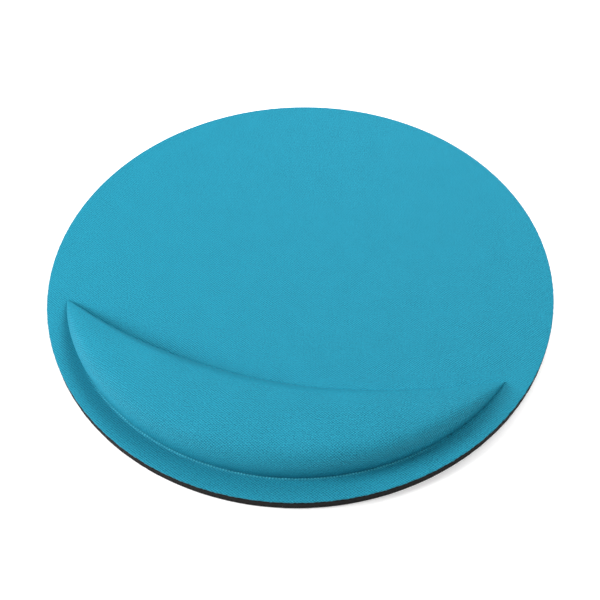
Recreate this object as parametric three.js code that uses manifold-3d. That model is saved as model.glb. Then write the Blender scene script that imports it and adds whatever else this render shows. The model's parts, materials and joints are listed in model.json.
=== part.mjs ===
// A round mouse mat with a crescent wrist rest raised along its front edge.
// One knitted cloth is bonded over the flat mat and the rest, so nothing on it moves.
//
// Units are millimetres and +Z is up. The origin is the centre of the underside,
// and the wrist rest lies on the -Y side, where the user sits.

import * as THREE from 'three';
import { mergeVertices } from 'three/addons/utils/BufferGeometryUtils.js';
import Module from 'manifold-3d';

const wasm = await Module();
wasm.setup();

// ---- Driving dimensions ----

// The flat mat, as layers from the table up
const matDiameter = 230;
const backingThickness = 0.75;
const foamThickness = 4;
const filmThickness = 0.125;
const clothThickness = 0.625;

// The film stops this far short of the foam's edge
const filmInset = 0.3;

// The rest's plan is the crescent between two arcs. Both are centred behind the mat's middle.
const outerArcRadius = 106.2;
const outerArcCentreY = 1.6;
const innerArcRadius = 226.6;
const innerArcCentreY = 165;

// The rest's section: a steep boxy shoulder on the user's side, a level crest, and a slope
// with a ramp at its foot towards the middle of the mat. Each span is a width in the middle
// of the rest and at most a share of the crescent's width towards the tips.
const restHeight = 14.5;
const shoulderSpan = { width: 14.5, share: 0.47 };
const rampSpan = { width: 10.7, share: 0.235 };
const slopeSpan = { width: 17.5, share: 0.9 };
const shoulderSquareness = 4.2;
const rampSquareness = 1.33;
const rampPart = 0.66;

// How full the crest stays towards the two tips: 0 keeps its height, and 1 rounds it off
const crestTaper = 0.8;

// Under the cloth: the rim of the hollow, and the clearance round the core
const hollowRimHeight = 0.25;
const coreRimHeight = 0.125;
const coreClearance = 0.3;

// Facets
const matSegments = 96;
const alongSegments = 56;
const shoulderSegments = 6;
const crestSegments = 4;
const rampSegments = 5;

// ---- Levels and the crescent's greatest width, worked out ----

const foamBottom = backingThickness;
const filmBottom = foamBottom + foamThickness;
const clothBottom = filmBottom + filmThickness;
const clothTop = clothBottom + clothThickness;
const arcCentreGap = innerArcCentreY - outerArcCentreY;
const crescentWidth = outerArcRadius + arcCentreGap - innerArcRadius;

// ---- Finishes ----

const backingFinish = { color: 0x232426, roughness: 0.85, metalness: 0 };
const foamFinish = { color: 0x2b2a2a, roughness: 0.95, metalness: 0 };
const filmFinish = { color: 0x16242c, roughness: 0.45, metalness: 0 };
const coreFinish = { color: 0xd9d2bd, roughness: 0.9, metalness: 0 };
const clothFinish = { color: 0x329ebb, roughness: 0.9, metalness: 0 };

// ---- Solids for the boolean cuts ----

function toSolid(geometry) {
  const bare = geometry.clone();
  bare.deleteAttribute('normal');
  bare.deleteAttribute('uv');
  const shared = mergeVertices(bare);
  return new wasm.Manifold(new wasm.Mesh({
    numProp: 3,
    vertProperties: Float32Array.from(shared.attributes.position.array),
    triVerts: Uint32Array.from(shared.index.array),
  }));
}

function toGeometry(solid) {
  const { vertProperties, triVerts } = solid.getMesh();
  return indexedGeometry(vertProperties, triVerts);
}

function indexedGeometry(positions, corners) {
  const geometry = new THREE.BufferGeometry();
  geometry.setAttribute('position', new THREE.BufferAttribute(Float32Array.from(positions), 3));
  geometry.setIndex(new THREE.BufferAttribute(Uint32Array.from(corners), 1));
  geometry.computeVertexNormals();
  return geometry;
}

// ---- Flat round layers ----

function roundLayer(bottom, thickness, inset = 0) {
  const radius = matDiameter / 2 - inset;
  const geometry = new THREE.CylinderGeometry(radius, radius, thickness, matSegments);
  geometry.rotateX(Math.PI / 2);
  geometry.translate(0, 0, bottom + thickness / 2);
  return geometry;
}

// ---- The crescent ----

// The two arcs of a crescent drawn in by inset on both sides, with the angle of its tips
// seen from each arc's centre. Angles are measured from the front (-Y). tipBack is how far
// the tips lie behind the outer arc's centre.
function crescentArcs(inset) {
  const outerRadius = outerArcRadius - inset;
  const innerRadius = innerArcRadius + inset;
  const tipBack = (outerRadius ** 2 + arcCentreGap ** 2 - innerRadius ** 2) / (2 * arcCentreGap);
  const tipX = Math.sqrt(outerRadius ** 2 - tipBack ** 2);
  return {
    outerRadius,
    innerRadius,
    outerTipAngle: Math.atan2(tipX, -tipBack),
    innerTipAngle: Math.atan2(tipX, arcCentreGap - tipBack),
  };
}

// The two ends of a section line. along runs from -1 at the left tip to 1 at the right tip.
function sectionEnds(arcs, along) {
  const outerAngle = along * arcs.outerTipAngle;
  const innerAngle = along * arcs.innerTipAngle;
  const outer = new THREE.Vector2(
    arcs.outerRadius * Math.sin(outerAngle),
    outerArcCentreY - arcs.outerRadius * Math.cos(outerAngle),
  );
  const inner = new THREE.Vector2(
    arcs.innerRadius * Math.sin(innerAngle),
    innerArcCentreY - arcs.innerRadius * Math.cos(innerAngle),
  );
  return { outer, inner };
}

function spanAt({ width, share }, sectionWidth) {
  return Math.min(width, share * sectionWidth);
}

// Rises from 0 to 1, upright at 0 and level from 1 on
function quarterRound(share, squareness) {
  const left = 1 - Math.min(share, 1);
  return (1 - left ** squareness) ** (1 / squareness);
}

// How far along a quarter round each facet ends, close together where it is upright
function quarterStops(segments, squareness) {
  const stops = [];
  for (let step = 0; step < segments; step += 1) {
    const turn = (step / segments) * (Math.PI / 2);
    stops.push(1 - Math.cos(turn) ** (2 / squareness));
  }
  return stops;
}

// The distances from the outer arc, as shares of the section's width, that get a vertex
function sectionStops(width) {
  const shoulder = spanAt(shoulderSpan, width) / width;
  const ramp = spanAt(rampSpan, width) / width;
  const shoulderStops = quarterStops(shoulderSegments, shoulderSquareness);
  const rampStops = quarterStops(rampSegments, rampSquareness);
  const crest = 1 - ramp - shoulder;
  const crestStops = Array.from({ length: crestSegments }, (_, step) => step / crestSegments);
  return [
    ...shoulderStops.map((stop) => shoulder * stop),
    ...crestStops.map((stop) => shoulder + crest * stop),
    1 - ramp,
    ...rampStops.toReversed().map((stop) => 1 - ramp * stop),
  ];
}

// The dome's height in a section, as a share of the rest's height
function sectionHeight(width, share) {
  const fromOuter = share * width;
  const fromInner = width - fromOuter;
  const crest = (1 - (1 - Math.min(width / crescentWidth, 1)) ** 2) ** crestTaper;
  const shoulder = quarterRound(fromOuter / spanAt(shoulderSpan, width), shoulderSquareness);
  const ramp = quarterRound(fromInner / spanAt(rampSpan, width), rampSquareness);
  const slope = 1 - (1 - Math.min(fromInner / spanAt(slopeSpan, width), 1)) ** 2;
  return crest * shoulder * (rampPart * ramp + (1 - rampPart) * slope);
}

// A closed crescent: a flat floor, an upright rim and a domed top
function crescentGeometry({ inset, floor, rim, peak }) {
  const arcs = crescentArcs(inset);
  const positions = [];
  const corners = [];

  const addVertex = (point, z) => {
    positions.push(point.x, point.y, z);
    return positions.length / 3 - 1;
  };
  const addTriangle = (a, b, c) => {
    if (a !== b && b !== c && c !== a) corners.push(a, b, c);
  };
  const addQuad = (a, b, c, d) => {
    addTriangle(a, b, c);
    addTriangle(a, c, d);
  };

  const sectionCount = shoulderSegments + crestSegments + rampSegments;
  const rows = [];
  for (let row = 0; row <= alongSegments; row += 1) {
    const along = 2 * row / alongSegments - 1;
    const { outer, inner } = sectionEnds(arcs, along);
    const isTip = row === 0 || row === alongSegments;
    if (isTip) {
      const top = addVertex(outer, rim);
      const bottom = addVertex(outer, floor);
      rows.push({ tops: Array(sectionCount + 1).fill(top), outerFoot: bottom, innerFoot: bottom });
      continue;
    }
    const width = outer.distanceTo(inner);
    const tops = sectionStops(width).map((share) => {
      const point = outer.clone().lerp(inner, share);
      return addVertex(point, rim + peak * sectionHeight(width, share));
    });
    rows.push({ tops, outerFoot: addVertex(outer, floor), innerFoot: addVertex(inner, floor) });
  }

  for (let row = 0; row < alongSegments; row += 1) {
    const here = rows[row];
    const next = rows[row + 1];
    for (let stop = 0; stop < sectionCount; stop += 1) {
      addQuad(here.tops[stop], next.tops[stop], next.tops[stop + 1], here.tops[stop + 1]);
    }
    addQuad(here.outerFoot, next.outerFoot, next.tops[0], here.tops[0]);
    addQuad(next.innerFoot, here.innerFoot, here.tops[sectionCount], next.tops[sectionCount]);
    addQuad(here.innerFoot, next.innerFoot, next.outerFoot, here.outerFoot);
  }
  return indexedGeometry(positions, corners);
}

// ---- Pieces ----

function named(name, geometry, finish) {
  const mesh = new THREE.Mesh(geometry, new THREE.MeshStandardMaterial(finish));
  mesh.name = name;
  return mesh;
}

// Non-slip sheet that grips the table
function nonslipBacking() {
  return named('nonslip_backing', roundLayer(0, backingThickness), backingFinish);
}

// Closed-cell foam disc that makes the mat's body
function baseFoam() {
  return named('base_foam', roundLayer(foamBottom, foamThickness), foamFinish);
}

// Hot-melt film that bonds the cloth and the core to the foam disc
function bondFilm() {
  return named('bond_film', roundLayer(filmBottom, filmThickness, filmInset), filmFinish);
}

// Soft foam crescent that carries the wrist. It sits on the film, just clear of the cloth.
function wristRestCore() {
  const geometry = crescentGeometry({
    inset: clothThickness + coreClearance,
    floor: clothBottom,
    rim: clothBottom + coreRimHeight,
    peak: restHeight - hollowRimHeight - coreClearance,
  });
  return named('wrist_rest_core', geometry, coreFinish);
}

// One cloth over everything: flat on the mat, domed over the core and hollow beneath the dome
function fabricCover() {
  const domeRoot = clothThickness / 2;
  const hollowDepth = 1;
  const flatCloth = toSolid(roundLayer(clothBottom, clothThickness));
  const dome = toSolid(crescentGeometry({
    inset: 0,
    floor: clothTop - domeRoot,
    rim: clothTop,
    peak: restHeight,
  }));
  const hollow = toSolid(crescentGeometry({
    inset: clothThickness,
    floor: clothBottom - hollowDepth,
    rim: clothBottom + hollowRimHeight,
    peak: restHeight - hollowRimHeight,
  }));
  const cover = flatCloth.add(dome).subtract(hollow);
  return named('fabric_cover', toGeometry(cover), clothFinish);
}

const mouseMat = new THREE.Group();
mouseMat.add(nonslipBacking(), baseFoam(), bondFilm(), wristRestCore(), fabricCover());

export default mouseMat;
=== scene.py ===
"""Looks of a round mouse mat with a crescent wrist rest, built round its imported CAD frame.

Everything is in metres, in the frame's own axes: +Z up, and the wrist rest on the -Y side.
"""

import json
import math

import bpy
import numpy as np
from mathutils import Matrix, Vector


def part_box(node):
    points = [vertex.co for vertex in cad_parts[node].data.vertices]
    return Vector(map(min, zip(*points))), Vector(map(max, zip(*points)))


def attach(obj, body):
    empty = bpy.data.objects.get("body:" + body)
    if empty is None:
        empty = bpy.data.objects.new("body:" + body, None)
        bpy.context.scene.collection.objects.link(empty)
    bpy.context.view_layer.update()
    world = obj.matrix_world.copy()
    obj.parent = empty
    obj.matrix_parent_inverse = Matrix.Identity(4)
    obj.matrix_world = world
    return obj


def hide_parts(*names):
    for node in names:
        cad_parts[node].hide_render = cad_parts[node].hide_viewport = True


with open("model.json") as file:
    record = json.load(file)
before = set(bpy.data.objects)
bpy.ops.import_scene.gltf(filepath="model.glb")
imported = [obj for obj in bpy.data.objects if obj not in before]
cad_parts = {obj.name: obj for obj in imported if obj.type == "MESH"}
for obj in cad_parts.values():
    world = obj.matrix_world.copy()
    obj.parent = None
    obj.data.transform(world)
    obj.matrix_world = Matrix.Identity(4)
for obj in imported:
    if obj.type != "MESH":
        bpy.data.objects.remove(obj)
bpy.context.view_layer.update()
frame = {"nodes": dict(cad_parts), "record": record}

# ---- Sizes read from the frame ----

MOUNTS = {mount["name"]: mount for mount in frame["record"]["mounts"]}
MAT_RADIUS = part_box("fabric_cover")[1].x
BACKING_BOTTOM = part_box("nonslip_backing")[0].z
FOAM_BOTTOM, FOAM_TOP = (corner.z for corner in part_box("base_foam"))
CLOTH_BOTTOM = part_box("fabric_cover")[0].z
CLOTH_TOP = MOUNTS["mousing_surface"]["pos_m"][2]
CLOTH_THICKNESS = CLOTH_TOP - CLOTH_BOTTOM
REST_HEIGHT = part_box("fabric_cover")[1].z - CLOTH_TOP

# ---- The rest's plan and section, as in the CAD ----

OUTER_ARC_RADIUS = 0.1062
OUTER_ARC_CENTRE_Y = 0.0016
INNER_ARC_RADIUS = 0.2266
INNER_ARC_CENTRE_Y = 0.165

CRESCENT_WIDTH = (OUTER_ARC_RADIUS - OUTER_ARC_CENTRE_Y) - (INNER_ARC_RADIUS - INNER_ARC_CENTRE_Y)
CREST_TAPER = 0.8
SHOULDER_WIDTH = 0.0145
SHOULDER_SHARE = 0.47
SHOULDER_SQUARENESS = 4.2
RAMP_WIDTH = 0.0107
RAMP_SHARE = 0.235
RAMP_SQUARENESS = 1.33
RAMP_PART = 0.66
SLOPE_WIDTH = 0.0175
SLOPE_SHARE = 0.9

# ---- Cloth details ----

# The beaded lip in the outer crease, with a painted highlight along its fold that reaches LIP_RISE
# up the rest's wall. It fades out over LIP_FADE and ends at LIP_END, both as shares of the way from
# the middle to a tip.
BEAD_COUNT = 200
LIP_HEIGHT = 0.00042
LIP_WIDTH = 0.00070
LIP_RISE = 0.00025
LIP_END = 0.72
LIP_FADE = 0.25

# The lip wavers up and down by LIP_WAVER of its height, by two waves multiplied together. Each has
# its radians from the middle to a tip and its start. Between two beads the lip dips by BEAD_DIP of
# its height, and the painted highlight on its fold is FAINTEST_FOLD_HIGHLIGHT times as strong as on a
# bead.
LIP_WAVER = 0.20
LIP_WAVES = ((37, 1.3), (91, 0.0))
BEAD_DIP = 0.45
FAINTEST_FOLD_HIGHLIGHT = 0.10

# The cloth is pressed in at both creases, less and less over PRESS_FADE before the tips
PRESS_DEPTH = 0.00030
PRESS_WIDTH = 0.0065
INNER_PRESS_DEPTH = 0.00040
INNER_PRESS_WIDTH = 0.0020
PRESS_FADE = 0.10

# The padded shoulder's swell, and the stuffing's slight waves: for each, its radians per metre
# along X and along Y, its start and its share
BULGE = 0.0007
UNEVENNESS = 0.00012
STUFFING_WAVES = ((61, 133, 0.4, 1.0), (-148, 87, 1.9, 1.0), (214, 176, 4.2, 0.6))

# The cut edge. The cloth is flat out to FLAT_EDGE_RADIUS. Each wave of the fraying has its count
# round the mat and its start.
EDGE_FRAY = 0.00006
FRAY_WAVES = ((271, 0), (433, 2), (97, 0))
EDGE_ROUNDING = 0.00022
FLAT_EDGE_RADIUS = MAT_RADIUS - 3 * EDGE_ROUNDING
RIM_WIDTH = FLAT_EDGE_RADIUS - OUTER_ARC_RADIUS

# Knit: how many ribs of loops cross each millimetre along X and along Y, and how strong they are,
# for both sets of ribs
KNIT_RIBS = ((0.53, 1.09, 0.27), (0.95, -0.77, 0.20))

# ---- Foam disc, backing and core ----

# Foam disc. Its flat faces close in from FOAM_MARGIN within the edge.
FOAM_INSET = 0.00006
FOAM_ROUNDING = 0.00018
FOAM_HOLLOW = 0.00010
FOAM_MARGIN = 0.002

# Waves in the foam's cut edge, each with its count round the mat and its lean from top to bottom
FOAM_WAVER = 0.00002
FOAM_WAVES = ((83, 6), (191, -9), (37, 0))

# Backing, with dimples that fade out DIMPLE_MARGIN from its rim
BACKING_INSET = 0.0004
DIMPLE_PITCH = 0.006
DIMPLE_DEPTH = 0.00018
DIMPLE_FULLNESS = 1.6
DIMPLE_MARGIN = 0.004
DIMPLE_FADE = 0.003

# Core, with an upright rim round its foot
CORE_CLEARANCE = 0.0003
CORE_RIM = 0.00012

# ---- Grid fineness ----

# Cells from tip to tip, and rows over the rest's shoulder and crown. The shoulder's lowest rows lie
# at the shares FOOT_RISES of its height.
FINE_CELLS = 4 * BEAD_COUNT
SHOULDER_ROWS = 14
FOOT_RISES = (0.0, 0.012, 0.03, 0.06, 0.12, 0.2, 0.28)
CROWN_ROWS = 26

# Where the other rows lie, as shares of the way over their stretch
MOUSING_SHARES = (0.002, 0.005, 0.01, 0.02, 0.04, *np.linspace(0.08, 1, 18))
LIP_SHARES = (0.15, 0.3, 0.45, 0.6, 0.75, 0.9)
RIM_SHARES = (0.05, 0.13, 0.24, 0.4, 0.58, 0.78, 0.92, 1.0)
UNDERSIDE_SHARES = np.linspace(0.12, 0.88, 7)
FOAM_LEVELS = (0.15, 0.3, 0.45, 0.6, 0.75, 0.87)
CORE_FOOT_SHARES = (0.0, 0.25, 0.5, 0.75, 1.0)

# Cells along the core, round the foam disc and across the backing, and how the rings that close a
# disc shrink and where they stop
CORE_CELLS = 240
RING_CELLS = 720
RING_SHRINK = 0.82
RING_MIDDLE = 0.006
BACKING_CELLS = 152
BACKING_SHRINK = 0.75
BACKING_MIDDLE_CELLS = 40

# Stands in for a width or height of nothing, where something is divided by it
TINY = 1e-6

# ---- Studio ----

# How strongly the surroundings light the mat, and the floor's size, its gap below the mat and its
# glow
WORLD_LIGHT = 0.04
FLOOR_RADIUS = 0.45
FLOOR_GAP = 0.00005
FLOOR_GLOW = 0.25
FLOOR_CELLS = 96

# The camera's place, in degrees and metres, and its lens, in millimetres
CAMERA_AZIMUTH = 15.2567
CAMERA_ELEVATION = 52.0248
CAMERA_ROLL = -1.9570
CAMERA_DISTANCE = 0.413772
CAMERA_SHIFT_RIGHT = 0.000388
CAMERA_SHIFT_UP = -0.013292
CAMERA_NEAREST = 0.01
LENS_LENGTH = 54
SENSOR_WIDTH = 36


# ---- Shape functions ----

def quarter_round(share, squareness):
    """Rises from 0 to 1, upright at 0 and level from 1 on."""
    left = 1 - np.clip(share, 0, 1)
    return (1 - left ** squareness) ** (1 / squareness)


def crown_height(outer_gap, inner_gap):
    """The rest's height over the flat cloth, from the distances to its outer and inner arcs."""
    width = np.maximum(outer_gap + inner_gap, TINY)
    peak = REST_HEIGHT * quarter_round(width / CRESCENT_WIDTH, 2) ** (2 * CREST_TAPER)
    shoulder = quarter_round(
        outer_gap / np.minimum(SHOULDER_WIDTH, SHOULDER_SHARE * width), SHOULDER_SQUARENESS
    )
    ramp = quarter_round(
        inner_gap / np.minimum(RAMP_WIDTH, RAMP_SHARE * width), RAMP_SQUARENESS
    )
    slope = quarter_round(inner_gap / np.minimum(SLOPE_WIDTH, SLOPE_SHARE * width), 2) ** 2
    return peak * shoulder * (RAMP_PART * ramp + (1 - RAMP_PART) * slope)


def gaps(plan, inset):
    """Distances from points of the plan to the crescent's outer and inner arcs."""
    x, y = plan[..., 0], plan[..., 1]
    outer_gap = OUTER_ARC_RADIUS - inset - np.hypot(x, y - OUTER_ARC_CENTRE_Y)
    inner_gap = np.hypot(x, y - INNER_ARC_CENTRE_Y) - INNER_ARC_RADIUS - inset
    return np.maximum(outer_gap, 0), np.maximum(inner_gap, 0)


def polar(radius, angle, centre_y=0.0):
    """Points of a circle, with angles counted from the front (-Y) towards +X."""
    x = radius * np.sin(angle)
    y = centre_y - radius * np.cos(angle)
    return np.stack(np.broadcast_arrays(x, y), -1)


class Crescent:
    """The crescent between the two arcs, each drawn in by inset, with its curves as functions of
    along: -1 at the left tip and 1 at the right tip."""

    def __init__(self, inset=0.0):
        self.inset = inset
        self.outer_radius = OUTER_ARC_RADIUS - inset
        self.inner_radius = INNER_ARC_RADIUS + inset
        between = INNER_ARC_CENTRE_Y - OUTER_ARC_CENTRE_Y
        tip_back = (self.outer_radius**2 + between**2 - self.inner_radius**2) / (2 * between)
        tip_x = math.sqrt(self.outer_radius**2 - tip_back**2)
        self.outer_tip = math.atan2(tip_x, -tip_back)
        self.inner_tip = math.atan2(tip_x, between - tip_back)
        self.edge_tip = math.atan2(tip_x, -tip_back - OUTER_ARC_CENTRE_Y)

    def outer(self, along, outside=0.0):
        """The outer arc, or an arc outside it."""
        return polar(self.outer_radius + outside, along * self.outer_tip, OUTER_ARC_CENTRE_Y)

    def inner(self, along):
        return polar(self.inner_radius, along * self.inner_tip, INNER_ARC_CENTRE_Y)

    def back(self, along):
        """The outer circle's way from tip to tip round the back of the mat."""
        angle = -math.pi - along * (math.pi - self.outer_tip)
        return polar(self.outer_radius, angle, OUTER_ARC_CENTRE_Y)

    def edge_front(self, along, radius):
        """A circle round the mat's middle, as far as it lies outside the outer arc."""
        return polar(radius, along * self.edge_tip)

    def edge_back(self, along, radius):
        """The rest of that circle, round the back of the mat."""
        return polar(radius, -math.pi - along * (math.pi - self.edge_tip))


def unevenness(plan):
    """Slight swells in the stuffing, from a few crossed waves."""
    x, y = plan[..., 0], plan[..., 1]
    return UNEVENNESS * sum(
        part * np.sin(across * x + back * y + start) for across, back, start, part in STUFFING_WAVES
    )


# ---- Mesh building ----

class RowMesh:
    """A mesh made of rows of points, with strips of faces between them."""

    def __init__(self):
        self.points = []
        self.marks = {}
        self.faces = []

    def add(self, points, **marks):
        """Adds a row of points and returns their numbers. Each mark is a value per point."""
        first = len(self.points)
        self.points.extend(np.asarray(points, float).tolist())
        for name, values in marks.items():
            held = self.marks.setdefault(name, {})
            for offset, value in enumerate(values):
                held[first + offset] = value
        return list(range(first, len(self.points)))

    def bridge(self, near, far, closed=False):
        """Fills the strip between two rows. One row may have twice as many cells as the other."""
        if closed:
            near, far = near + near[:1], far + far[:1]
        near_cells, far_cells = len(near) - 1, len(far) - 1
        cells = min(near_cells, far_cells)
        near_step, far_step = near_cells // cells, far_cells // cells
        for cell in range(cells):
            low = near[cell * near_step:(cell + 1) * near_step + 1]
            high = far[cell * far_step:(cell + 1) * far_step + 1]
            face = list(dict.fromkeys(low + high[::-1]))
            if len(face) > 2:
                self.faces.append(face)

    def bridge_rows(self, rows, flipped=False):
        """Fills the strips between all the rows in turn."""
        for near, far in zip(rows, rows[1:]):
            if flipped:
                self.bridge(far, near)
            else:
                self.bridge(near, far)

    def close(self, ring, face_up):
        """Closes a ring of points with one polygon."""
        self.faces.append(ring if face_up else ring[::-1])

    def piece(self, name, material):
        """The finished object, smooth, with its marks as attributes."""
        mesh = bpy.data.meshes.new(name)
        mesh.from_pydata(self.points, [], self.faces)
        mesh.polygons.foreach_set("use_smooth", [True] * len(mesh.polygons))
        for mark, held in self.marks.items():
            is_vector = hasattr(next(iter(held.values())), "__len__")
            width = 3 if is_vector else 1
            values = np.zeros((len(self.points), width))
            values[list(held)] = np.array(list(held.values())).reshape(-1, width)
            kind, field = ("FLOAT_VECTOR", "vector") if is_vector else ("FLOAT", "value")
            attribute = mesh.attributes.new(mark, kind, "POINT")
            attribute.data.foreach_set(field, values.ravel())
        mesh.materials.append(material)
        piece = bpy.data.objects.new(name, mesh)
        bpy.context.scene.collection.objects.link(piece)
        return piece


def raise_to(plan, height):
    """Plan points with heights."""
    return np.concatenate([plan, np.broadcast_to(height, plan.shape[:-1])[..., None]], -1)


def with_ends(ends, row):
    """Numbers of a row whose two end points are already in the mesh."""
    return [ends[0], *row, ends[1]]


# ---- Materials ----

class Nodes:
    """A short way to build a material's node tree."""

    def __init__(self, name):
        self.material = bpy.data.materials.new(name)
        self.material.use_nodes = True
        self.tree = self.material.node_tree
        self.shader = self.tree.nodes["Principled BSDF"]

    def node(self, kind, inputs=None, **settings):
        """A new node with its settings made and its inputs set or linked."""
        made = self.tree.nodes.new("ShaderNode" + kind)
        for name, value in settings.items():
            setattr(made, name, value)
        for name, value in (inputs or {}).items():
            self.put(made.inputs[name], value)
        return made

    def put(self, socket, value):
        """Sets a socket, or links another one to it."""
        if isinstance(value, bpy.types.NodeSocket):
            self.tree.links.new(value, socket)
        else:
            socket.default_value = value

    def math(self, operation, *values):
        made = self.node("Math", operation=operation)
        for socket, value in zip(made.inputs, values):
            self.put(socket, value)
        return made.outputs[0]

    def vector(self, operation, *values):
        made = self.node("VectorMath", operation=operation)
        for socket, value in zip(made.inputs, values):
            self.put(socket, value)
        return made.outputs["Value" if operation == "DOT_PRODUCT" else "Vector"]

    def noise(self, where, scale, detail=2.0, roughness=0.5):
        """A noise texture's two outputs, Fac and Color."""
        made = self.node(
            "TexNoise",
            {"Vector": where, "Scale": scale, "Detail": detail, "Roughness": roughness},
        )
        return made.outputs

    def mix(self, share, first, second):
        """Colour between two others. A Mix node's sockets 6 and 7 and its output 2 are colours."""
        made = self.node("Mix", data_type="RGBA")
        self.put(made.inputs["Factor"], share)
        self.put(made.inputs[6], first)
        self.put(made.inputs[7], second)
        return made.outputs[2]

    def remap(self, value, low, high, to_low=0.0, to_high=1.0):
        """Carries low to to_low and high to to_high, with the values between them in step."""
        made = self.node("MapRange", {
            "Value": value, "From Min": low, "From Max": high, "To Min": to_low, "To Max": to_high,
        })
        return made.outputs[0]

    def mark(self, name, output="Fac"):
        """One of the mesh's own marks."""
        return self.node("Attribute", attribute_name=name).outputs[output]

    def bump(self, height, distance, strength):
        made = self.node("Bump", {"Height": height, "Distance": distance, "Strength": strength})
        return made.outputs[0]

    def surface(self, **values):
        """Sets the shader's sockets, named with _ for each space, and returns the material."""
        for name, value in values.items():
            self.put(self.shader.inputs[name.replace("_", " ")], value)
        return self.material


def knit_cloth():
    """Teal polyester knit: loops in two crossed sets of ribs, with painted shade in the grooves
    between them, a painted highlight on the lip's folds, and darker where cut.
    """
    n = Nodes("teal_knit")
    per_millimetre = n.vector("SCALE", n.mark("cloth", "Vector"))
    n.put(per_millimetre.node.inputs["Scale"], 1000.0)
    drift = n.vector("SUBTRACT", n.noise(per_millimetre, scale=0.35)["Color"], (0.5, 0.5, 0.5))
    drifted = n.vector("MULTIPLY_ADD", drift, (0.5, 0.5, 0.0), per_millimetre)

    def rib_wave(rate_x, rate_y, strength):
        """One set of ribs, as a wave across the cloth."""
        turns = n.vector("DOT_PRODUCT", drifted, (rate_x, rate_y, 0.0))
        return n.math("MULTIPLY", n.math("SINE", n.math("MULTIPLY", turns, math.tau)), strength)

    ribs = n.math("ADD", *(rib_wave(*rib) for rib in KNIT_RIBS))
    clearness = n.remap(n.noise(per_millimetre, scale=0.06)["Fac"], 0.35, 0.65, 0.80, 1.06)
    fuzz = n.noise(per_millimetre, scale=1.5, detail=3.0, roughness=0.75)["Fac"]
    fibre = n.math("SUBTRACT", fuzz, 0.5)
    loops = n.math("MULTIPLY_ADD", fibre, 2.0, n.math("MULTIPLY_ADD", ribs, clearness, 0.5))
    mottle = n.noise(per_millimetre, scale=0.09, detail=4.0, roughness=0.6)["Fac"]

    # The colour runs from groove to loop with the loops' height: painted shade in the grooves between
    # the ribs, with the fibres' random tone mixed in
    groove_shade = (0.0028, 0.103, 0.170, 1)
    loop = (0.0122, 0.303, 0.428, 1)
    faded = (0.0085, 0.262, 0.380, 1)
    # Painted highlight that pales the beaded lip's fold
    painted_fold_highlight = (0.080, 0.520, 0.660, 1)
    cut_fibre = (0.020, 0.130, 0.180, 1)
    colour = n.mix(n.remap(loops, 0.0, 1.0), groove_shade, loop)
    colour = n.mix(n.remap(mottle, 0.3, 0.7, 0.0, 0.16), colour, faded)
    colour = n.mix(n.mark("fold"), colour, painted_fold_highlight)
    colour = n.mix(n.mark("cut"), colour, cut_fibre)
    return n.surface(
        Base_Color=colour,
        Roughness=n.remap(loops, 0.0, 1.0, 0.74, 0.60),
        Specular_IOR_Level=0.18,
        Normal=n.bump(loops, distance=0.00020, strength=0.8),
    )


def cut_foam():
    """Black closed-cell foam with small cut cells, with painted shade in their hollows."""
    n = Nodes("black_foam")
    place = n.node("TexCoord").outputs["Object"]
    cells = n.node("TexVoronoi", {"Vector": place, "Scale": 2600.0}).outputs["Distance"]
    grain = n.noise(place, scale=900.0, detail=4.0, roughness=0.6)["Fac"]
    pores = n.math("ADD", n.math("MULTIPLY", cells, 0.7), n.math("MULTIPLY", grain, 0.6))
    # Darker in the hollow of each cut cell: painted shade, with random grain mixed in
    pore_shade = (0.0022, 0.0022, 0.0026, 1)
    raised = (0.0105, 0.0095, 0.009, 1)
    return n.surface(
        Base_Color=n.mix(n.remap(pores, 0.3, 0.9), pore_shade, raised),
        Roughness=n.remap(grain, 0.3, 0.7, 0.82, 0.96),
        Specular_IOR_Level=0.15,
        Normal=n.bump(pores, distance=0.00012, strength=0.7),
    )


def grip_rubber():
    """Dark non-slip backing, matt with a fine pebble."""
    n = Nodes("grip_rubber")
    place = n.node("TexCoord").outputs["Object"]
    pebble = n.node("TexVoronoi", {"Vector": place, "Scale": 1400.0}).outputs["Distance"]
    dust = n.noise(place, scale=60.0, detail=4.0, roughness=0.6)["Fac"]
    clean = (0.012, 0.012, 0.013, 1)
    dusty = (0.022, 0.022, 0.023, 1)
    return n.surface(
        Base_Color=n.mix(n.remap(dust, 0.35, 0.75), clean, dusty),
        Roughness=n.remap(dust, 0.3, 0.7, 0.62, 0.78),
        Specular_IOR_Level=0.4,
        Normal=n.bump(pebble, distance=0.00006, strength=0.6),
    )


def film_with_painted_shade():
    """Adhesive film with faint flow marks. Its dark navy tone is partly the film's own and partly
    painted shade of the dark line under the cloth's cut edge.
    """
    n = Nodes("film_with_painted_shade")
    place = n.node("TexCoord").outputs["Object"]
    flow = n.noise(place, scale=40.0, detail=3.0, roughness=0.6)["Fac"]
    # Dark navy: the film's own tone, and painted shade of the line under the cloth's edge
    thick = (0.006, 0.014, 0.020, 1)
    thin = (0.012, 0.024, 0.034, 1)
    return n.surface(
        Base_Color=n.mix(flow, thick, thin),
        Roughness=n.remap(flow, 0.3, 0.7, 0.35, 0.5),
        Normal=n.bump(flow, distance=0.00004, strength=0.5),
    )


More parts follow.
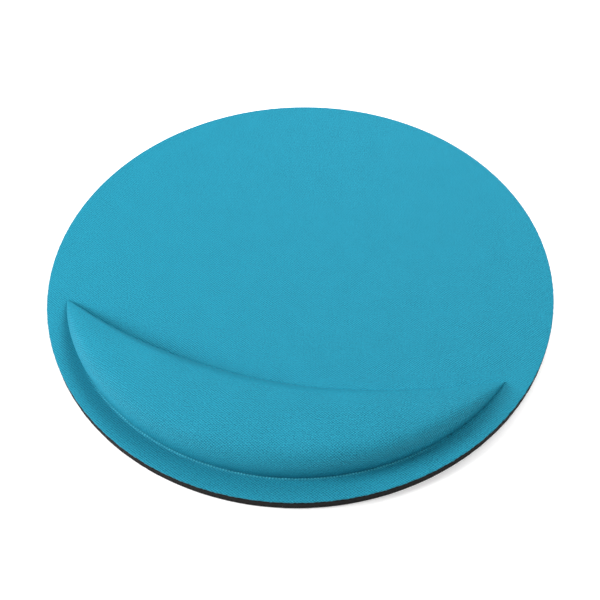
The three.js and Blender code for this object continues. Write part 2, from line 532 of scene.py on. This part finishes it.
def soft_foam():
    """Cream open-cell foam, with painted shade in the middles of its cells."""
    n = Nodes("cream_foam")
    place = n.node("TexCoord").outputs["Object"]
    cells = n.node("TexVoronoi", {"Vector": place, "Scale": 1100.0}).outputs["Distance"]
    tone = n.noise(place, scale=45.0, detail=3.0)["Fac"]
    # Darker in the middle of each open cell: painted shade
    open_cell_shade = (0.36, 0.31, 0.21, 1)
    cell_wall = (0.74, 0.68, 0.52, 1)
    yellowed = (0.60, 0.52, 0.36, 1)
    colour = n.mix(n.remap(cells, 0.1, 0.7), open_cell_shade, cell_wall)
    return n.surface(
        Base_Color=n.mix(n.remap(tone, 0.3, 0.7, 0.0, 0.25), colour, yellowed),
        Roughness=0.95,
        Specular_IOR_Level=0.2,
        Normal=n.bump(cells, distance=0.0003, strength=0.8),
    )


def pale_floor():
    """Plain white table top with a faint glow of its own, which keeps the mat's shadow short."""
    n = Nodes("pale_floor")
    place = n.node("TexCoord").outputs["Object"]
    grain = n.noise(place, scale=3.0)["Fac"]
    return n.surface(
        Base_Color=n.mix(grain, (0.86, 0.86, 0.86, 1), (0.88, 0.88, 0.88, 1)),
        Roughness=0.6,
        Specular_IOR_Level=0.2,
        Emission_Color=(1, 1, 1, 1),
        Emission_Strength=FLOOR_GLOW,
    )


# ---- Fabric cover ----

def section_rows(along, crescent, stops):
    """Points of the crescent's plan: one row per stop, where a stop runs from 0 at the outer arc
    to 1 at the inner one."""
    outer, inner = crescent.outer(along), crescent.inner(along)
    return [outer + (inner - outer) * stop[:, None] for stop in stops]


def crown_stops(along, crescent, foot_rises=FOOT_RISES):
    """Stops close together on the shoulder and the ramp, and further apart between."""
    width = np.linalg.norm(crescent.outer(along) - crescent.inner(along), axis=-1)
    width = np.maximum(width, TINY)
    shoulder = np.minimum(SHOULDER_WIDTH, SHOULDER_SHARE * width) / width
    turns = np.arange(1, SHOULDER_ROWS) / SHOULDER_ROWS * math.pi / 2
    rises = [*foot_rises, *np.sin(turns) ** (2 / SHOULDER_SQUARENESS)]
    stops = [
        shoulder * (1 - (1 - rise**SHOULDER_SQUARENESS) ** (1 / SHOULDER_SQUARENESS))
        for rise in rises
    ]
    for row in range(CROWN_ROWS + 1):
        way = math.sin(row / CROWN_ROWS * math.pi / 2)
        stops.append(shoulder + (1 - shoulder) * way)
    return stops


def crown_surface(along, crescent, floor):
    """The domed surface's points, one row per stop from the outer arc to the inner one."""
    rows = []
    for plan in section_rows(along, crescent, crown_stops(along, crescent)):
        height = crown_height(*gaps(plan, crescent.inset))
        swell = unevenness(plan) * np.clip(height / REST_HEIGHT, 0, 1)
        rows.append(raise_to(plan, floor + height + swell))
    return rows


def bulge_shoulder(rows, along, crescent):
    """Lets the padded shoulder swell out over its foot, most of all halfway up."""
    outward = polar(1.0, along * crescent.outer_tip)
    crest = len(FOOT_RISES) + SHOULDER_ROWS - 1
    top = np.maximum(rows[crest][:, 2] - CLOTH_TOP, TINY)
    fullness = BULGE * np.clip(top / REST_HEIGHT, 0, 1)
    for row in rows[1:crest]:
        rise = np.clip((row[:, 2] - CLOTH_TOP) / top, 0, 1)
        row[:, :2] += outward * (fullness * 4 * rise * (1 - rise))[:, None]


def laid_flat(rows, along, crescent):
    """Where each point of the crown lies on the cloth: its plan, moved outwards by as much as the
    cloth's way over the crown is longer than the plan's."""
    outward = polar(1.0, along * crescent.outer_tip)
    extra = np.zeros(len(along))
    laid = [rows[-1][:, :2]]
    for lower, upper in zip(rows[-2::-1], rows[:0:-1]):
        step = lower - upper
        extra = extra + np.linalg.norm(step, axis=-1) - np.linalg.norm(step[:, :2], axis=-1)
        laid.append(lower[:, :2] + outward * extra[:, None])
    return laid[::-1]


def outside_crease(plan):
    """Distance of points of the plan outside the outer crease, less than 0 within it."""
    return np.hypot(plan[:, 0], plan[:, 1] - OUTER_ARC_CENTRE_Y) - OUTER_ARC_RADIUS


def lip(along, plan):
    """Height of the beaded lip that the cloth is folded into at the rest's foot, and the strength of
    the painted highlight along its fold.
    """
    outwards = np.clip(2 * outside_crease(plan) / LIP_WIDTH - 1, 0, 1)
    profile = np.cos(outwards * math.pi / 2) ** 2
    bead = 0.5 + 0.5 * np.cos(math.pi * BEAD_COUNT * (along + 1))
    waves = [np.sin(rate * along + start) for rate, start in LIP_WAVES]
    waver = (1 - LIP_WAVER) + math.prod(waves, start=LIP_WAVER)
    fade = np.clip((LIP_END - np.abs(along)) / LIP_FADE, 0, 1)
    strength = profile * waver * fade
    height = LIP_HEIGHT * strength * ((1 - BEAD_DIP) + BEAD_DIP * bead)
    return height, strength * (FAINTEST_FOLD_HIGHLIGHT + (1 - FAINTEST_FOLD_HIGHLIGHT) * bead**2)


def inner_distance(plan):
    """Distance of points of the plan from the inner crease."""
    return np.abs(np.hypot(plan[:, 0], plan[:, 1] - INNER_ARC_CENTRE_Y) - INNER_ARC_RADIUS)


def pressed_in(along, distance, depth, width):
    """How deep the cloth is pressed in at a crease, and less and less with distance from it."""
    fade = np.clip((1 - np.abs(along)) / PRESS_FADE, 0, 1)
    return depth * fade * np.clip(1 - distance / width, 0, 1) ** 2


def pressed(along, plan):
    """How deep the cloth is pressed in at the outer crease and beside it."""
    return pressed_in(along, np.abs(outside_crease(plan)), PRESS_DEPTH, PRESS_WIDTH)


def inner_pressed(along, plan):
    """How deep the cloth is pressed in at the inner crease and beside it."""
    return pressed_in(along, inner_distance(plan), INNER_PRESS_DEPTH, INNER_PRESS_WIDTH)


def shape_crease(row, along):
    """Adds the lip and the pressed-in creases to a row of the crown, and returns the strength of
    its painted fold highlight.
    """
    height, fold = lip(along, row[:, :2])
    rise = row[:, 2] - CLOTH_TOP
    row[:, 2] += height * np.clip(1 - rise / (3 * LIP_HEIGHT), 0, 1)
    row[:, 2] -= pressed(along, row[:, :2]) + inner_pressed(along, row[:, :2])
    return fold * np.clip(1 - rise / LIP_RISE, 0, 1)


def frayed(plan, cut):
    """Draws points of the edge in by a little, unevenly, where the cloth is cut."""
    angle = np.arctan2(plan[:, 0], -plan[:, 1])
    ragged = sum(np.sin(count * angle + start) - 1 for count, start in FRAY_WAVES)
    radius = np.linalg.norm(plan, axis=-1)
    return plan * (1 + cut * EDGE_FRAY * ragged / radius)[:, None]


class CoverMesh(RowMesh):
    """The cloth's mesh. Each point is marked with its place on the laid-out cloth, how strong the
    painted highlight of a fold is there and how far it is cut."""

    def add_point(self, point):
        return self.add([point], cloth=[(point[0], point[1], 0.0)], fold=[0.0], cut=[0.0])[0]

    def add_between(self, ends, points, laid=None, fold=None, cut=0.0):
        """A row whose two end points are already in the mesh."""
        points = points[1:-1]
        laid = points[:, :2] if laid is None else laid[1:-1]
        fold = np.zeros(len(points)) if fold is None else fold[1:-1]
        cut = np.full(len(points), cut)
        return with_ends(ends, self.add(points, cloth=raise_to(laid, 0.0), fold=fold, cut=cut))

    def bridge_ring(self, last, ring):
        """Fills the strip between two rings. Each is a row in front of the tips and one behind."""
        self.bridge(ring[0], last[0])
        self.bridge(last[1], ring[1])
        return ring

    def add_ring(self, last, front, behind, fold=None, cut=0.0):
        """A ring from points in front of the tips and behind them, bridged to the last ring."""
        ends = [self.add_point(front[0]), self.add_point(front[-1])]
        front_row = self.add_between(ends, front, fold=fold, cut=cut)
        return self.bridge_ring(last, (front_row, self.add_between(ends, behind, cut=cut)))


def add_crown(mesh, crescent, fine):
    """The rest's top, from the outer crease to the inner one. Its rows all end in the two tips."""
    rows = crown_surface(fine, crescent, CLOTH_TOP)
    folds = [shape_crease(row, fine) for row in rows]
    bulge_shoulder(rows, fine, crescent)
    laid = laid_flat(rows, fine, crescent)
    tips = [mesh.add_point(rows[0][0]), mesh.add_point(rows[0][-1])]
    made = []
    for number, (points, flat, fold) in enumerate(zip(rows, laid, folds)):
        step = 1 if number < len(FOOT_RISES) else 2
        made.append(mesh.add_between(tips, points[::step], flat[::step], fold[::step]))
    mesh.bridge_rows(made)
    return tips, made[0], made[-1]


def add_mousing_area(mesh, crescent, coarse, tips, inner_crease):
    """The flat cloth, from the inner crease to the outer circle's way round the back."""
    inner, back = crescent.inner(coarse), crescent.back(coarse)
    made = [inner_crease]
    for share in MOUSING_SHARES:
        plan = inner + (back - inner) * share
        height = CLOTH_TOP - inner_pressed(coarse, plan)
        made.append(mesh.add_between(tips, raise_to(plan, height)))
    mesh.bridge_rows(made)
    return made[-1]


def add_rim(mesh, crescent, fine, ring):
    """The flat rim, over the lip beside the crease and on to where the edge is rounded."""
    coarse = fine[::2]
    back, back_edge = crescent.back(coarse), crescent.edge_back(coarse, FLAT_EDGE_RADIUS)

    def behind_tips(front, share):
        """The ring's row behind the tips, a share of the way out. Its ends become the front's."""
        behind = back + (back_edge - back) * share
        front[0], front[-1] = behind[0], behind[-1]
        return raise_to(behind, CLOTH_TOP)

    for share in LIP_SHARES:
        outside = share * LIP_WIDTH
        front = crescent.outer(fine, outside)
        behind = behind_tips(front, outside / (MAT_RADIUS - OUTER_ARC_RADIUS))
        lip_height, fold = lip(fine, front)
        height = CLOTH_TOP + lip_height - pressed(fine, front)
        ring = mesh.add_ring(ring, raise_to(front, height), behind, fold)
    start = crescent.outer(coarse, LIP_WIDTH)
    reach = crescent.edge_front(coarse, FLAT_EDGE_RADIUS) - start
    for share in RIM_SHARES:
        front = start + reach * share
        behind = behind_tips(front, (LIP_WIDTH + share * RIM_WIDTH) / (LIP_WIDTH + RIM_WIDTH))
        height = CLOTH_TOP - pressed(coarse, front)
        ring = mesh.add_ring(ring, raise_to(front, height), behind)
    return ring


def add_cut_edge(mesh, crescent, coarse, ring):
    """The cut edge, over its rounded top corner and down."""
    lowest = CLOTH_THICKNESS / EDGE_ROUNDING

    # How far each ring is drawn in and lies below the top, in roundings, and how far it is cut
    profile = (
        (1.0, 0.1, 0.0),
        (0.3, 0.4, 0.5),
        (0.0, 1.0, 1.0),
        (0.0, lowest - 0.5, 1.0),
        (0.5, lowest, 1.0),
    )
    for draw_in, drop, cut in profile:
        radius = MAT_RADIUS - draw_in * EDGE_ROUNDING
        z = CLOTH_TOP - drop * EDGE_ROUNDING
        front = raise_to(frayed(crescent.edge_front(coarse, radius), cut), z)
        behind = raise_to(frayed(crescent.edge_back(coarse, radius), cut), z)
        ring = mesh.add_ring(ring, front, behind, cut=cut)
    return ring


def add_underside(mesh, crescent, coarse, ring):
    """The underside, from the edge in to the hollow, over the hollow and on to the back."""
    tips = [mesh.add_point((*crescent.outer(end), CLOTH_BOTTOM)) for end in (-1.0, 1.0)]
    front = mesh.add_between(tips, raise_to(crescent.outer(coarse), CLOTH_BOTTOM))
    behind = mesh.add_between(tips, raise_to(crescent.back(coarse), CLOTH_BOTTOM))
    mesh.bridge_ring(ring, (front, behind))
    sparse = coarse[::2]
    made = [front]
    for points in crown_surface(sparse, crescent, CLOTH_BOTTOM)[1:]:
        made.append(mesh.add_between(tips, points))
    inner, back = crescent.inner(sparse), crescent.back(sparse)
    for share in UNDERSIDE_SHARES:
        plan = inner + (back - inner) * share
        made.append(mesh.add_between(tips, raise_to(plan, CLOTH_BOTTOM)))
    mesh.bridge_rows([*made, behind], flipped=True)


def build_cover(material):
    """The one cloth: rest, mousing area and rim on top, the cut edge, and the hollow underside."""
    mesh = CoverMesh()
    crescent = Crescent()
    fine = np.linspace(-1, 1, FINE_CELLS + 1)
    coarse = fine[::2]
    tips, outer_crease, inner_crease = add_crown(mesh, crescent, fine)
    back_row = add_mousing_area(mesh, crescent, coarse, tips, inner_crease)
    ring = add_rim(mesh, crescent, fine, (outer_crease, back_row))
    ring = add_cut_edge(mesh, crescent, coarse, ring)
    add_underside(mesh, Crescent(CLOTH_THICKNESS), coarse, ring)

    cover = mesh.piece("fabric_cover_cloth", material)
    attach(cover, "root")
    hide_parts("fabric_cover")


# ---- Foam disc, backing, core and film ----

def ring_points(radius, z, cells):
    """Points of a level circle round the mat's middle."""
    angle = np.arange(cells) * math.tau / cells
    return raise_to(polar(radius, angle), z)


def close_disc(mesh, ring, radius, z, face_up):
    """Closes a ring with ever smaller and sparser rings and a small polygon in the middle."""
    while radius >= RING_MIDDLE:
        radius *= RING_SHRINK
        cells = len(ring) // 2 if len(ring) % 2 == 0 else len(ring)
        inner = mesh.add(ring_points(radius, z, cells))
        if face_up:
            mesh.bridge(ring, inner, closed=True)
        else:
            mesh.bridge(inner, ring, closed=True)
        ring = inner
    mesh.close(ring, face_up)


def foam_profile():
    """Heights down the foam's cut edge, with how far the rounded corners draw it in."""
    corner = ((0.0, 1.0), (0.3, 0.3), (1.0, 0.0))
    top = [(FOAM_TOP - down * FOAM_ROUNDING, FOAM_ROUNDING * draw_in) for down, draw_in in corner]
    middle = [(FOAM_TOP - level * (FOAM_TOP - FOAM_BOTTOM), 0.0) for level in FOAM_LEVELS]
    bottom = [
        (FOAM_BOTTOM + up * FOAM_ROUNDING, FOAM_ROUNDING * draw_in)
        for up, draw_in in reversed(corner)
    ]
    return top + middle + bottom


def build_base_foam(material):
    """Foam disc with a slightly uneven, cut edge."""
    mesh = RowMesh()
    angle = np.arange(RING_CELLS) * math.tau / RING_CELLS
    rows = []
    for z, draw_in in foam_profile():
        depth = (FOAM_TOP - z) / (FOAM_TOP - FOAM_BOTTOM)
        waver = FOAM_WAVER * sum(np.sin(count * angle + lean * depth) for count, lean in FOAM_WAVES)
        hollow = FOAM_HOLLOW * math.sin(math.pi * depth)
        radius = MAT_RADIUS - FOAM_INSET - draw_in - hollow + waver
        rows.append(mesh.add(raise_to(polar(radius, angle), z)))
    for upper, lower in zip(rows, rows[1:]):
        mesh.bridge(lower, upper, closed=True)
    close_disc(mesh, rows[0], MAT_RADIUS - FOAM_MARGIN, FOAM_TOP, face_up=True)
    close_disc(mesh, rows[-1], MAT_RADIUS - FOAM_MARGIN, FOAM_BOTTOM, face_up=False)
    foam = mesh.piece("base_foam_disc", material)
    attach(foam, "root")
    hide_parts("base_foam")


def dimpled_underside(radius):
    """A square grid of points, drawn out to a disc, with shallow dimples away from its rim."""
    steps = np.linspace(-1, 1, BACKING_CELLS + 1)
    u, v = np.meshgrid(steps, steps)
    x = radius * u * np.sqrt(1 - v**2 / 2)
    y = radius * v * np.sqrt(1 - u**2 / 2)
    inside = np.clip((radius - DIMPLE_MARGIN - np.hypot(x, y)) / DIMPLE_FADE, 0, 1)
    wave = np.cos(math.tau * x / DIMPLE_PITCH) * np.cos(math.tau * y / DIMPLE_PITCH)
    z = BACKING_BOTTOM + DIMPLE_DEPTH * inside * np.clip(wave * DIMPLE_FULLNESS, 0, 1)
    return np.stack([x, y, z], -1)


def build_backing(material):
    """Non-slip backing with a field of shallow dimples underneath."""
    mesh = RowMesh()
    grid = [mesh.add(row) for row in dimpled_underside(MAT_RADIUS - BACKING_INSET)]
    mesh.bridge_rows(grid, flipped=True)
    ring = (
        grid[0][:-1]
        + [row[-1] for row in grid[:-1]]
        + grid[-1][:0:-1]
        + [row[0] for row in grid[:0:-1]]
    )

    # Up the edge, and in over the top with ever sparser rings
    points = np.array([mesh.points[number] for number in ring])
    for height in (0.5, 1.0):
        points[:, 2] = BACKING_BOTTOM + (FOAM_BOTTOM - BACKING_BOTTOM) * height
        row = mesh.add(points)
        mesh.bridge(ring, row, closed=True)
        ring = row
    while len(ring) > BACKING_MIDDLE_CELLS and len(ring) % 2 == 0:
        points = points[::2] * (BACKING_SHRINK, BACKING_SHRINK, 1)
        row = mesh.add(points)
        mesh.bridge(ring, row, closed=True)
        ring = row
    mesh.close(ring, True)
    backing = mesh.piece("nonslip_backing_sheet", material)
    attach(backing, "root")
    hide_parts("nonslip_backing")


def build_core(material):
    """Soft foam crescent, a little clear of the cloth all over."""
    mesh = RowMesh()
    crescent = Crescent(CLOTH_THICKNESS + CORE_CLEARANCE)
    along = np.linspace(-1, 1, CORE_CELLS + 1)
    outer, inner = crescent.outer(along), crescent.inner(along)

    def add_tips(z):
        return [mesh.add([(*crescent.outer(end), z)])[0] for end in (-1.0, 1.0)]

    tips, feet = add_tips(CLOTH_BOTTOM + CORE_RIM), add_tips(CLOTH_BOTTOM)
    crown = []
    for plan in section_rows(along, crescent, crown_stops(along, crescent, foot_rises=(0.0,))):
        cloth = crown_height(*gaps(plan, CLOTH_THICKNESS))
        height = np.maximum(cloth + unevenness(plan) - CORE_CLEARANCE, CORE_RIM)
        crown.append(with_ends(tips, mesh.add(raise_to(plan, CLOTH_BOTTOM + height)[1:-1])))
    mesh.bridge_rows(crown)

    # The flat foot, from below the outer rim to below the inner one
    foot = []
    for share in CORE_FOOT_SHARES:
        plan = outer + (inner - outer) * share
        foot.append(with_ends(feet, mesh.add(raise_to(plan, CLOTH_BOTTOM)[1:-1])))
    mesh.bridge(foot[0], crown[0])
    mesh.bridge_rows([*foot, crown[-1]], flipped=True)
    core = mesh.piece("wrist_rest_foam", material)
    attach(core, "root")
    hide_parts("wrist_rest_core")


def dress_film(material):
    """The bonding film keeps its CAD shape and gets its material."""
    film = frame["nodes"]["bond_film"]
    for slot in film.material_slots:
        slot.material = material


# ---- Floor, lights and camera ----

def build_floor(material):
    """Round table top, small enough that it is brightly lit all over."""
    mesh = RowMesh()
    mesh.close(mesh.add(ring_points(FLOOR_RADIUS, BACKING_BOTTOM - FLOOR_GAP, FLOOR_CELLS)), True)
    mesh.piece("floor", material)


def soft_box(name, azimuth, elevation, distance, size, power):
    """A square softbox that faces the mat. Azimuth 0 is behind the mat (+Y), 90 on its right."""
    turn, rise = math.radians(azimuth), math.radians(elevation)
    towards = Vector(
        (math.sin(turn) * math.cos(rise), math.cos(turn) * math.cos(rise), math.sin(rise))
    )
    light = bpy.data.lights.new(name, "AREA")
    light.shape = "SQUARE"
    light.size = size
    light.energy = power
    lamp = bpy.data.objects.new(name, light)
    lamp.location = towards * distance
    lamp.rotation_euler = towards.to_track_quat("Z", "Y").to_euler()
    bpy.context.scene.collection.objects.link(lamp)


def light_scene():
    """Softboxes round the mat, in dim surroundings that look white to the camera."""
    world = bpy.data.worlds.new("studio")
    world.use_nodes = True
    nodes, links = world.node_tree.nodes, world.node_tree.links
    background = nodes["Background"]
    background.inputs["Color"].default_value = (1, 1, 1, 1)
    seen = nodes.new("ShaderNodeLightPath").outputs["Is Camera Ray"]
    strength = nodes.new("ShaderNodeMapRange")
    strength.inputs["To Min"].default_value = WORLD_LIGHT
    strength.inputs["To Max"].default_value = 1.0
    links.new(seen, strength.inputs["Value"])
    links.new(strength.outputs[0], background.inputs["Strength"])
    bpy.context.scene.world = world
    soft_box("key_left", azimuth=245, elevation=32, distance=0.85, size=0.32, power=9.7)
    soft_box("fill_right", azimuth=90, elevation=46, distance=1.0, size=0.40, power=4.7)
    soft_box("fill_back", azimuth=0, elevation=46, distance=0.6, size=0.30, power=2.2)
    soft_box("fill_back_right", azimuth=32, elevation=54, distance=1.0, size=0.40, power=3.8)
    soft_box("low_right", azimuth=120, elevation=12, distance=1.0, size=0.35, power=0.8)
    soft_box("low_front", azimuth=195, elevation=14, distance=1.0, size=0.35, power=1.0)


def add_camera():
    """The camera stands in front of the mat, a little to the right, and looks down at it."""
    azimuth, elevation = math.radians(CAMERA_AZIMUTH), math.radians(CAMERA_ELEVATION)
    roll = math.radians(CAMERA_ROLL)
    back = Vector((
        math.sin(azimuth) * math.cos(elevation),
        -math.cos(azimuth) * math.cos(elevation),
        math.sin(elevation),
    ))
    level = Vector((math.cos(azimuth), math.sin(azimuth), 0))
    upright = back.cross(level)
    right = math.cos(roll) * level + math.sin(roll) * upright
    up = math.cos(roll) * upright - math.sin(roll) * level
    camera = bpy.data.objects.new("camera", bpy.data.cameras.new("camera"))
    camera.data.lens = LENS_LENGTH
    camera.data.sensor_width = SENSOR_WIDTH
    camera.data.clip_start = CAMERA_NEAREST
    place = Vector((0, 0, CLOTH_TOP)) + back * CAMERA_DISTANCE
    place = place + right * CAMERA_SHIFT_RIGHT + up * CAMERA_SHIFT_UP
    camera.matrix_world = Matrix.Translation(place) @ Matrix((right, up, back)).transposed().to_4x4()
    bpy.context.scene.collection.objects.link(camera)
    bpy.context.scene.camera = camera


add_camera()
light_scene()
build_floor(pale_floor())
build_cover(knit_cloth())
build_base_foam(cut_foam())
build_backing(grip_rubber())
build_core(soft_foam())
dress_film(film_with_painted_shade())
bpy.context.scene.view_settings.view_transform = "Standard"
